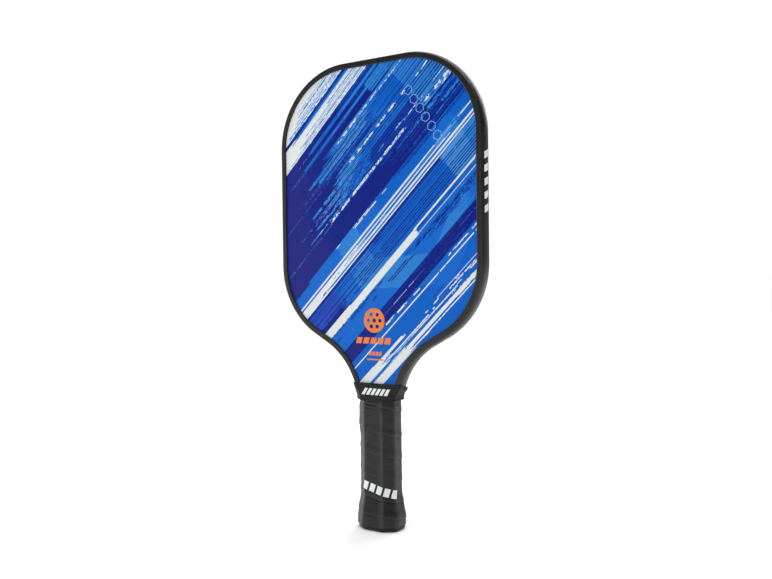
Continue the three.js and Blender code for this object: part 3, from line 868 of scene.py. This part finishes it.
def handle_octagon(offset):
    """The handle's octagon with every facet moved out by offset."""
    run = TONGUE_HALF_WIDTH - PALLET_FLAT_HALF
    rise = HANDLE_HALF_DEPTH - FACE_Y
    size = math.hypot(rise, run)
    nx, ny = rise / size, run / size
    reach = nx * TONGUE_HALF_WIDTH + ny * FACE_Y + offset
    hx, hy = TONGUE_HALF_WIDTH + offset, HANDLE_HALF_DEPTH + offset
    return hx, hy, (reach - ny * hy) / nx, (reach - nx * hx) / ny


GRIP_WIDEN = 0.45  # the padding is fuller over the handle's narrow sides
GRIP_WIDEN_FACET = 0.2  # its front and rear facets are a little wider too
GRIP_CORNER_R = 1.9
GRIP_OUT = 1.78  # the wrap's plain thickness over the handle


def grip_base():
    """The ring that the grip's offsets are measured from."""
    hx, hy, fx, fy = handle_octagon(0)
    return octagon_ring(hx + GRIP_WIDEN, hy, fx + GRIP_WIDEN_FACET, fy, GRIP_CORNER_R)


def lengths_around():
    """The grip's girth, and how far round it each ring point lies as a fraction of the girth."""
    outside = GRIP_BASE + GRIP_NORMALS * GRIP_OUT
    steps = np.linalg.norm(np.roll(outside, -1, 0) - outside, axis=1)
    return steps.sum(), np.concatenate([[0], np.cumsum(steps)[:-1]]) / steps.sum()


GRIP_BASE, GRIP_NORMALS = grip_base()
RING = len(GRIP_BASE)
GIRTH, AROUND = lengths_around()

# The butt's flare, as an offset from the handle's octagon.
FLARE_Z = [0, 2.7, 5, 8, 11, 14, 17, 20, 23, 26, 29, 33]
FLARE_D = [2.3, 2.85, 3.1, 3.15, 3.0, 2.65, 2.2, 1.75, 1.25, 0.7, 0.25, 0]
# How worn each ridge is, with the highlight painted on it, from the front facet's right one round
# towards +X.
RIDGE_WEAR = [0.9, 0.5, 0.4, 0.6, 0.6, 0.4, 0.3, 0.15]
WEAR_REACH_BROAD = 2.4  # how far the wear and painted highlight fade out over a broad facet
WEAR_REACH_NARROW = 0.9
# Heights where the wrap's lower edge crosses the front facet's right corner.
SEAM_Z = [-4, 12.5, 26.5, 45, 64, 82, 105, 127]
LAP_HEIGHT = 0.4
LAP_RISE = 0.4  # how far up the tape the lap takes to reach its height
CREASE_DEPTH = 0.18
TENSION_CROWN = 0.07
FOLD_HEIGHT = 0.16
LEFT_BULGE = 0.85
GRIP_ROW = 0.4  # height of each row of the mesh
GRIP_BORE = 0.35  # offset of the wrap's inside
TUCK_DEPTH = 0.9  # how far its lower edge is drawn in
TUCK_RISE = 1.4


def smooth(x):
    """A soft step from 0 to 1 as x goes from 0 to 1."""
    x = np.clip(x, 0, 1)
    return x * x * (3 - 2 * x)


def flare(z):
    """How far the butt's flare stands out at a height."""
    return np.interp(z, FLARE_Z, FLARE_D)


def seam_phase(z, around):
    """How far up the wrap's present turn a place is, from 0 at its lower edge to 1 at its upper."""
    turns = np.interp(z, SEAM_Z, np.arange(len(SEAM_Z)))
    wander = 0.012 * np.sin(2 * math.pi * (2 * around + 0.13 * z))
    return (turns + around + wander) % 1


def wrap_relief(z, around):
    """How far the wrap stands out at a height, for each place round the handle. Each turn's lower
    edge lies on the turn below, so it stands proud there, with a crease under it."""
    k = int(np.clip(np.searchsorted(SEAM_Z, z) - 1, 0, len(SEAM_Z) - 2))
    pitch = SEAM_Z[k + 1] - SEAM_Z[k]
    above = seam_phase(z, around) * pitch
    below = pitch - above
    lap = smooth(above / LAP_RISE) * (1 - 0.9 * smooth((above - 2) / 6))
    crease = np.exp(-((below / 0.55) ** 2))
    crown = np.sin(math.pi * np.clip(above / pitch, 0, 1))
    return LAP_HEIGHT * lap - CREASE_DEPTH * crease + TENSION_CROWN * crown


def gathers(z, around):
    """Small folds under the collar and the thicker start of the tape on the left."""
    folds = smooth((z - 101.5) / 2) * (1 - smooth((z - 108.5) / 2.5))
    ripple = np.sin(2 * math.pi * (z / 3.4 + 2.5 * around)) * np.cos(2 * math.pi * (around + 0.1)) ** 2
    start = smooth((z - 78) / 9) * (1 - smooth((z - 104) / 6))
    left = np.exp(-(((around - 0.72) / 0.1) ** 2))
    return FOLD_HEIGHT * folds * ripple + LEFT_BULGE * start * left


def soft_lumps(z, around):
    """Low, soft unevenness of the padding."""
    a = 2 * math.pi * around
    wave = np.sin(3 * a + z * 0.21) * np.sin(0.33 * z + 2 * a)
    return 0.07 * wave + 0.05 * np.sin(5 * a - 0.4 * z) * np.sin(0.17 * z + 1)


def grip_out(z, around):
    """The grip's outside, as an offset from the handle's octagon."""
    return flare(z) + GRIP_OUT + wrap_relief(z, around) + soft_lumps(z, around) + gathers(z, around)


def grip_surface(index, z, lift=0.0):
    """A point on the grip's outside, at a ring index that may fall between two ring points."""
    i = int(math.floor(index)) % RING
    j = (i + 1) % RING
    f = index - math.floor(index)
    base = GRIP_BASE[i] * (1 - f) + GRIP_BASE[j] * f
    normal = GRIP_NORMALS[i] * (1 - f) + GRIP_NORMALS[j] * f
    normal /= np.linalg.norm(normal)
    ahead = AROUND[j] if j else 1.0
    around = np.array([AROUND[i] * (1 - f) + ahead * f])
    out = (grip_out(z, around) + lift)[0]
    x, y = base + normal * out
    return x, y, z


def ridge_wear():
    """How far hands have rubbed each place round the grip, with a highlight painted there too: most
    along the ridges, and more on the broad facet beside a ridge than on its slanted one."""
    wear = np.zeros(RING)
    place = AROUND * GIRTH
    for k, depth in enumerate(RIDGE_WEAR):
        away = place - place[k * RING // 8 + ARC_SPANS // 2]
        away = (away + GIRTH / 2) % GIRTH - GIRTH / 2
        broad = away < 0 if k % 2 == 0 else away > 0
        reach = np.where(broad, WEAR_REACH_BROAD, WEAR_REACH_NARROW)
        wear = np.maximum(wear, depth * np.exp(-((away / reach) ** 2)))
    return wear


def grip_row(z, offset):
    """The grip's base ring at a height, moved out by one offset or by one for each point."""
    plan = GRIP_BASE + GRIP_NORMALS * np.reshape(offset, (-1, 1))
    return np.column_stack([plan, np.full(RING, z)])


def build_grip():
    """The wrap as one closed tube, its lower edge tucked in on the cap's lip."""
    heights = np.arange(GRIP_BOTTOM_Z, GRIP_TOP_Z + GRIP_ROW / 2, GRIP_ROW)
    rings = []
    for z in heights:
        tuck = max(0.0, 1 - (z - GRIP_BOTTOM_Z) / TUCK_RISE)
        rings.append(grip_row(z, grip_out(z, AROUND) - TUCK_DEPTH * tuck * tuck))
    rings += [grip_row(z, flare(z) + GRIP_BORE) for z in heights[::-8]]
    verts = np.vstack(rings)
    faces = facing_out(verts, ring_bands(len(rings), RING, True))
    covered = ("grip_skin", "grip_foam_backing")
    grip = make_piece("cushion_grip_wrap", verts, faces, LEATHER, covered, 60)
    # Wear and painted highlight for each ring point, the same in every ring up the grip.
    layer = grip.data.attributes.new("rubbed", "FLOAT", "POINT")
    layer.data.foreach_set("value", np.tile(ridge_wear(), len(rings)).astype(np.float32))


build_grip()


# ---------- the butt cap ----------

# The rounded lip that the grip ends on: (z, offset from the handle's octagon)
CAP_LIP = [
    (0, 2.4), (0.06, 2.75), (0.3, 3.2), (0.7, 3.6), (1.2, 3.9), (1.8, 4.1), (2.3, 4.12), (2.55, 3.95),
]  # fmt: skip
CAP_SKIN = 0.3  # offset of its outside under the grip
CAP_BORE = 0.2


def build_cap():
    """The flared cap: from its recessed end round the lip, up its outside and down its bore."""
    turn = np.arctan2(GRIP_BASE[:, 1], GRIP_BASE[:, 0])

    def circle(z, r):
        return np.column_stack([r * np.cos(turn), r * np.sin(turn), np.full(RING, z)])

    rings = [circle(BADGE_RECESS_DEPTH, 0.5), circle(BADGE_RECESS_DEPTH, BADGE_RECESS_R)]
    rings += [circle(0.2, BADGE_RECESS_R), circle(0, BADGE_RECESS_R + 0.25)]
    rings += [grip_row(z, d) for z, d in CAP_LIP]
    rings += [grip_row(z, flare(z) + CAP_SKIN) for z in (2.6, 5, 8, 11, 14, 17, 20, 24, CAP_TOP_Z)]
    rings += [grip_row(z, CAP_BORE) for z in (CAP_TOP_Z, CAP_FLOOR_Z)] + [circle(CAP_FLOOR_Z, 0.5)]
    verts = np.vstack(rings)
    faces = facing_out(verts, capped_bands(len(rings), RING))
    make_piece("flared_butt_cap", verts, faces, CAP, ("butt_cap",), 50)


build_cap()

# ---------- the rubber collar ----------

# Sections up the collar: (z, half width, half depth, flat half width, flat half depth, corner radius)
COLLAR_SECTIONS = np.array([
    (110.0, 19.3, 14.7, 10.6, 7.2, 2.2),
    (112.0, 19.5, 14.6, 11.2, 7.3, 2.2),
    (115.0, 20.3, 13.7, 12.8, 7.2, 2.1),
    (118.0, 21.8, 11.7, 15.6, 6.9, 1.9),
    (121.0, 23.5, 9.5, 19.4, 6.2, 1.6),
    (124.3, 24.75, 7.5, 22.6, 5.3, 1.3),
])  # fmt: skip
COLLAR_BOTTOM_Z = 110.0
COLLAR_TOP_Z = 123.9
COLLAR_REAR_DROP = 3.0  # how much lower its upper rim lies at the rear corners than in front
COLLAR_LIP_HALF_WIDTH = 15.5  # as far as its inner lip rests on the faces
COLLAR_LIP_LIFT = 0.1
COLLAR_EDGE = 0.035  # how much of its height the rounding of each edge takes
COLLAR_EDGE_DEPTH = 0.35  # how deep that rounding goes
# Its bore: levels, and how far inside the outer form the bore lies there
COLLAR_BORE = ([0, 0.3, 0.65, 1], [1.15, 1.2, 0.55, 0.42])


def collar_row(level, lift):
    """A closed row of points round the collar's outer form, moved out by lift. level runs from 0 at
    its lower rim to 1 at its upper one, which lies lower at the rear corners than in front."""
    z = COLLAR_BOTTOM_Z + level * (COLLAR_TOP_Z - COLLAR_BOTTOM_Z)
    sizes = [np.interp(z, COLLAR_SECTIONS[:, 0], COLLAR_SECTIONS[:, k]) for k in range(1, 6)]
    plan, normals = octagon_ring(*sizes)
    behind = smooth((plan[:, 1] / sizes[1] + 0.9) / 1.3)
    outer = smooth((np.abs(plan[:, 0]) - 17) / 4)
    z = z - COLLAR_REAR_DROP * behind * outer * smooth((level - 0.3) / 0.7)
    return np.column_stack([plan + normals * lift, z])


def collar_form(level):
    """The rolled rims at the collar's two edges and the soft hollow between them."""
    low = math.exp(-(((level - 0.05) / 0.055) ** 2))
    high = math.exp(-(((level - 0.96) / 0.045) ** 2))
    return 0.34 * low + 0.32 * high - 0.1


def build_collar():
    """The collar as one closed tube: up its outside and then down its bore."""
    rows = []
    for level in np.linspace(0, 1, 46):
        near = min(level, 1 - level) / COLLAR_EDGE
        rounding = COLLAR_EDGE_DEPTH * max(0.0, 1 - near) ** 2
        rows.append(collar_row(level, collar_form(level) - rounding))
    for level in np.linspace(1, 0, 12):
        row = collar_row(level, -np.interp(level, *COLLAR_BORE))
        if level > 0.9:
            # The rim's inner lip presses on the faces between the guard's ends.
            resting = np.abs(row[:, 0]) < COLLAR_LIP_HALF_WIDTH
            row[resting, 1] = np.sign(row[resting, 1]) * (FACE_Y + COLLAR_LIP_LIFT)
        rows.append(row)
    verts = np.vstack(rows)
    faces = facing_out(verts, ring_bands(len(rows), len(rows[0]), True))
    make_piece("stretched_collar", verts, faces, RUBBER, ("rubber_collar",), 50)


build_collar()


# ---------- printed marks ----------


def film_faces(first, na, nb):
    """The faces of a closed film whose two sides are grids of na by nb cells, the lower one first."""

    def at(i, j, top):
        return first + top * (na + 1) * (nb + 1) + i * (nb + 1) + j

    faces = []
    for i in range(na):
        for j in range(nb):
            cell = [(i, j), (i + 1, j), (i + 1, j + 1), (i, j + 1)]
            faces.append([at(a, b, 1) for a, b in cell])
            faces.append([at(a, b, 0) for a, b in cell][::-1])
    for i in range(na):
        faces.append([at(i, 0, 0), at(i + 1, 0, 0), at(i + 1, 0, 1), at(i, 0, 1)])
        faces.append([at(i, nb, 1), at(i + 1, nb, 1), at(i + 1, nb, 0), at(i, nb, 0)])
    for j in range(nb):
        faces.append([at(0, j, 1), at(0, j + 1, 1), at(0, j + 1, 0), at(0, j, 0)])
        faces.append([at(na, j, 0), at(na, j + 1, 0), at(na, j + 1, 1), at(na, j, 1)])
    return faces


def thin_marks(name, quads, place, surface, spans):
    """Thin closed ink films. Each quad is four corners in the coordinates that place turns into
    points: place(a, b, lift)."""
    points, faces = [], []
    na, nb = spans
    for corners in quads:
        p, q, r, s = (np.array(c, float) for c in corners)
        first = len(points)
        for lift in (INK_BASE, INK_TOP):
            for i in range(na + 1):
                for j in range(nb + 1):
                    u, v = i / na, j / nb
                    at = p * (1 - u) * (1 - v) + q * u * (1 - v) + r * u * v + s * (1 - u) * v
                    points.append(place(at[0], at[1], lift))
        film = film_faces(first, na, nb)
        faces += facing_out(np.array(points) - np.mean(points[first:], 0), film)
    make_piece(name, points, faces, surface)


def slanted_bars(start, gap, width, height, slant, low, count):
    """Parallelograms side by side, leaning right as they rise."""
    bars = []
    for k in range(count):
        a = start + k * (width + gap)
        b = low + height
        bars.append([(a, low), (a + width, low), (a + width + slant, b), (a + slant, b)])
    return bars


def on_front(a, b, lift):
    """On the front face: a is x and b is the height."""
    return a, -(FACE_Y + lift), b


def on_rear(a, b, lift):
    """On the rear face, read the same way from behind."""
    return -a, FACE_Y + lift, b


def circle_points(centre, radius, count):
    """Places round a circle, from its right side anticlockwise."""
    turns = 2 * math.pi * np.arange(count) / count
    return [(centre[0] + radius * math.cos(a), centre[1] + radius * math.sin(a)) for a in turns]


def perforated_disc(name, place, centre, radius, hole_r, orbit):
    """A ball mark: a disc with a middle hole and six round it, as a thin closed film."""
    holes = [centre] + circle_points(centre, orbit, 6)
    loops = [circle_points(centre, radius, 48)] + [circle_points(hole, hole_r, 14) for hole in holes]
    flat, edges = [], []
    for loop in loops:
        first = len(flat)
        flat += loop
        edges += [(first + i, first + (i + 1) % len(loop)) for i in range(len(loop))]
    result = delaunay_2d_cdt([Vector(p) for p in flat], edges, [], 0, 1e-6)
    verts = [tuple(v) for v in result[0]]
    faces = []
    for face in result[2]:
        middle = np.mean([verts[v] for v in face], 0)
        if all(math.dist(middle, hole) >= 0.98 * hole_r for hole in holes):
            faces.append(anticlockwise(face, verts))

    n = len(verts)
    points = [place(a, b, INK_TOP) for a, b in verts] + [place(a, b, INK_BASE) for a, b in verts]
    solid = faces + [[v + n for v in reversed(f)] for f in faces]
    sides = {(a, b) for f in faces for a, b in zip(f, f[1:] + f[:1])}
    solid += [[b, a, a + n, b + n] for a, b in sorted(sides) if (b, a) not in sides]
    solid = facing_out(np.array(points) - np.mean(points, 0), solid)
    make_piece(name, points, solid, ORANGE_INK)


def hexagon_outlines(name, place, centres, radius, line, turn):
    """Open hexagons, each one a thin closed film in the shape of a frame."""
    points, faces = [], []
    corners = np.radians(turn + 60 * np.arange(6))
    for cx, cz in centres:
        base = len(points)
        inner = radius - line
        for reach, lift in ((radius, INK_TOP), (inner, INK_TOP), (inner, INK_BASE), (radius, INK_BASE)):
            points += [place(cx + reach * math.cos(a), cz + reach * math.sin(a), lift) for a in corners]
        for k in range(6):
            n = (k + 1) % 6
            for ring in range(4):
                r, q = base + 6 * ring, base + 6 * ((ring + 1) % 4)
                faces.append([r + k, r + n, q + n, q + k])
    faces = facing_out(np.array(points), faces)
    make_piece(name, points, faces, PALE_INK)


def face_marks(label, place):
    """The ball mark with its bars, low on a face, and the row of open hexagons high on it."""
    perforated_disc(label + "_ball_mark", place, (-2, 177.5), radius=10.5, hole_r=1.75, orbit=5.9)
    bars = slanted_bars(-21, 1.6, 5.6, 5.4, 1.6, 157.6, 5)
    bars += slanted_bars(-8, 0.8, 2.6, 3.4, 0.8, 147.6, 4)
    bars += [[(-9.5, 143.6), (7, 143.6), (7, 144.8), (-9.5, 144.8)]]
    thin_marks(label + "_orange_bars", bars, place, ORANGE_INK, spans=(1, 1))
    centres = [(34 + 5.4 * k, 368 - 7.9 * k) for k in range(6)]
    hexagon_outlines(label + "_hexagon_row", place, centres, radius=4.3, line=0.6, turn=-25)


face_marks("front", on_front)
face_marks("rear", on_rear)


def on_guard_side(a, b, lift):
    """On the right side wall: a is the height, b is across it."""
    half = np.array(GUARD_HALF[::-1])
    u = np.interp(abs(b), half[:, 1], half[:, 0]) if abs(b) > 1 else -0.03 * abs(b)
    return WIDTH / 2 + u + lift, b, a


side_bars = [
    [(z, -3.3), (z + 5.6, -3.3), (z + 8.2, 3.3), (z + 2.6, 3.3)] for z in 264 + 10.6 * np.arange(5)
]
thin_marks("guard_side_bars", side_bars, on_guard_side, WHITE_INK, spans=(2, 10))


def on_collar(a, b, lift):
    """On the collar's front: a is x and b is the height."""
    level = (b - COLLAR_BOTTOM_Z) / (COLLAR_TOP_Z - COLLAR_BOTTOM_Z)
    row = collar_row(level, collar_form(level) + lift)
    front = row[row[:, 1] < 0]
    front = front[np.argsort(front[:, 0])]
    return a, np.interp(a, front[:, 0], front[:, 1]), b


collar_bars = slanted_bars(-10.5, 1.45, 3.0, 5.0, 1.4, 115.2, 6)
thin_marks("collar_bars", collar_bars, on_collar, WHITE_INK, spans=(6, 8))


def grip_index(around):
    """The ring index at a fraction of the way round the handle."""
    return np.interp(around % 1, np.append(AROUND, 1.0), np.arange(RING + 1))


GRIP_BARS_Z = 34.2  # at the front facet's right corner
GRIP_BARS_FALL = 25  # in one turn round the handle


def on_grip(a, b, lift):
    """On the grip: a is the distance round from the front facet's right corner, b is the height
    above a line that falls with the wrap."""
    around = a / GIRTH
    z = GRIP_BARS_Z + b - around * GRIP_BARS_FALL
    return grip_surface(grip_index(around), z, lift)


grip_bars = slanted_bars(-19, 2.0, 4.8, 7.2, 2.1, -3.6, 5)
thin_marks("grip_bars", grip_bars, on_grip, WHITE_INK, spans=(10, 12))

# ---------- finishes of the carried-over pieces ----------


def cloth_material():
    """Undyed bonding cloth."""
    s = Surface("scrim_cloth", specular=0.2)
    s.coloured(s.mixed(s.spread(s.noise(3, 3), 0, 1), srgb(226, 222, 210), srgb(206, 202, 190)))
    s.roughened(s.spread(s.noise(2, 2), 0.85, 0.97))
    return s.relieved(s.noise(0.5, 2), 0.05).material


def wire_material():
    """Drawn steel wire."""
    s = Surface("staple_wire", metallic=1.0)
    s.coloured(s.mixed(s.spread(s.noise(1, 3), 0, 1), srgb(188, 190, 194), srgb(160, 162, 168)))
    s.roughened(s.spread(s.noise(0.6, 3), 0.25, 0.42))
    return s.relieved(s.noise(0.3, 2), 0.01).material


FINISHES = [
    (("honeycomb_core",), moulded("core_polypropylene", srgb(214, 218, 216), 1.05, 0.5, 1.0, 0.02)),
    (("front_scrim", "rear_scrim"), cloth_material()),
    (("edge_guard_tape",), moulded("adhesive_tape", srgb(214, 210, 194), 1.06, 0.7, 0.8, 0.02)),
    (
        ("front_handle_pallet", "rear_handle_pallet"),
        moulded("pallet_foam", srgb(198, 176, 120), 1.1, 0.88, 0.5, 0.08, specular=0.2),
    ),
    (("butt_cap_badge",), BADGE),
    (("front_cap_staple", "rear_cap_staple"), wire_material()),
    (("grip_finishing_tape",), moulded("finishing_vinyl", srgb(24, 24, 25), 1.2, 0.3, 0.8, 0.01)),
]
for nodes, surface in FINISHES:
    for node in nodes:
        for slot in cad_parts[node].material_slots:
            slot.material = surface

# ---------- floor, light and camera ----------

FLOOR_REACH = 40  # metres from the middle to each side
SURROUND = 0.14  # how brightly the backdrop lights the paddle
BACKDROP = 1.1  # how bright the backdrop looks to the camera


def lay_floor():
    """Matt, nearly white paper."""
    r = FLOOR_REACH
    mesh = bpy.data.meshes.new("studio_floor")
    mesh.from_pydata([(-r, -r, 0), (r, -r, 0), (r, r, 0), (-r, r, 0)], [], [(0, 1, 2, 3)])
    floor = bpy.data.objects.new("studio_floor", mesh)
    bpy.context.collection.objects.link(floor)
    paper = Surface("pale_paper", specular=0.1)
    drift = paper.spread(paper.noise(40, 3), 0, 1)
    paper.coloured(paper.mixed(drift, (0.94, 0.94, 0.94), (0.92, 0.92, 0.92)))
    paper.shader.inputs["Roughness"].default_value = 0.9
    mesh.materials.append(paper.material)


def hang_backdrop():
    """A white backdrop that lights the paddle only dimly, so that the lamps shape it."""
    world = bpy.data.worlds.new("studio")
    bpy.context.scene.world = world
    world.use_nodes = True
    nodes, links = world.node_tree.nodes, world.node_tree.links
    surround = nodes["Background"]
    backdrop = nodes.new("ShaderNodeBackground")
    for background, strength in ((surround, SURROUND), (backdrop, BACKDROP)):
        background.inputs["Color"].default_value = (1, 1, 1, 1)
        background.inputs["Strength"].default_value = strength
    ray = nodes.new("ShaderNodeLightPath")
    choice = nodes.new("ShaderNodeMixShader")
    links.new(ray.outputs["Is Camera Ray"], choice.inputs["Fac"])
    links.new(surround.outputs[0], choice.inputs[1])
    links.new(backdrop.outputs[0], choice.inputs[2])
    links.new(choice.outputs[0], nodes["World Output"].inputs["Surface"])


def lamp(name, kind, place, aim, energy, **settings):
    """A light at a place in metres, pointed at another."""
    light = bpy.data.lights.new(name, kind)
    light.energy = energy
    for key, value in settings.items():
        setattr(light, key, value)
    holder = bpy.data.objects.new(name, light)
    holder.location = place
    holder.rotation_euler = (Vector(aim) - Vector(place)).to_track_quat("-Z", "Y").to_euler()
    bpy.context.collection.objects.link(holder)


def softbox(name, place, aim, size, watts):
    """A rectangular area light."""
    lamp(name, "AREA", place, aim, watts, shape="RECTANGLE", size=size[0], size_y=size[1])


lay_floor()
hang_backdrop()
lamp("overhead_light", "SUN", (0, 0, 2), (0, 0, 0), 3.05, angle=math.radians(70))
softbox("front_light", (-0.1, -1.6, 1.3), (0, 0, 0.26), (0.9, 0.7), 1.5)
softbox("front_strip", (0.03, -1.9, 0.3), (0, 0, 0.2), (0.16, 1.0), 3)
softbox("left_light", (-1.25, -0.4, 0.3), (0, 0, 0.2), (1.0, 0.9), 8)
softbox("rear_light", (-0.15, 1.45, 1.1), (0, 0, 0.36), (1.6, 0.9), 16)

# The camera that was fitted to the photo's outline.
CAMERA_LENS = 37.79
CAMERA_AZIMUTH = math.radians(32.43)
CAMERA_ELEVATION = math.radians(1.167)
CAMERA_ROLL = math.radians(-0.659)
CAMERA_TARGET = (6.77, 0, 203.77)
CAMERA_DISTANCE = 688.8


def place_camera():
    """Looks at the target from its azimuth to the right of -Y, rolled a little."""
    data = bpy.data.cameras.new("camera")
    data.lens = CAMERA_LENS
    data.sensor_width = 36
    data.sensor_fit = "HORIZONTAL"
    data.clip_end = 200
    camera = bpy.data.objects.new("camera", data)
    bpy.context.collection.objects.link(camera)
    level = math.cos(CAMERA_ELEVATION)
    x, y = math.sin(CAMERA_AZIMUTH) * level, -math.cos(CAMERA_AZIMUTH) * level
    back = Vector((x, y, math.sin(CAMERA_ELEVATION)))
    right = (-back).cross(Vector((0, 0, 1))).normalized()
    up = right.cross(-back)
    c, n = math.cos(CAMERA_ROLL), math.sin(CAMERA_ROLL)
    right, up = right * c + up * n, up * c - right * n
    place = Vector(CAMERA_TARGET) * MM + back * CAMERA_DISTANCE * MM
    camera.matrix_world = Matrix.Translation(place) @ Matrix((right, up, back)).transposed().to_4x4()
    bpy.context.scene.camera = camera


place_camera()
bpy.context.scene.view_settings.view_transform = "Standard"
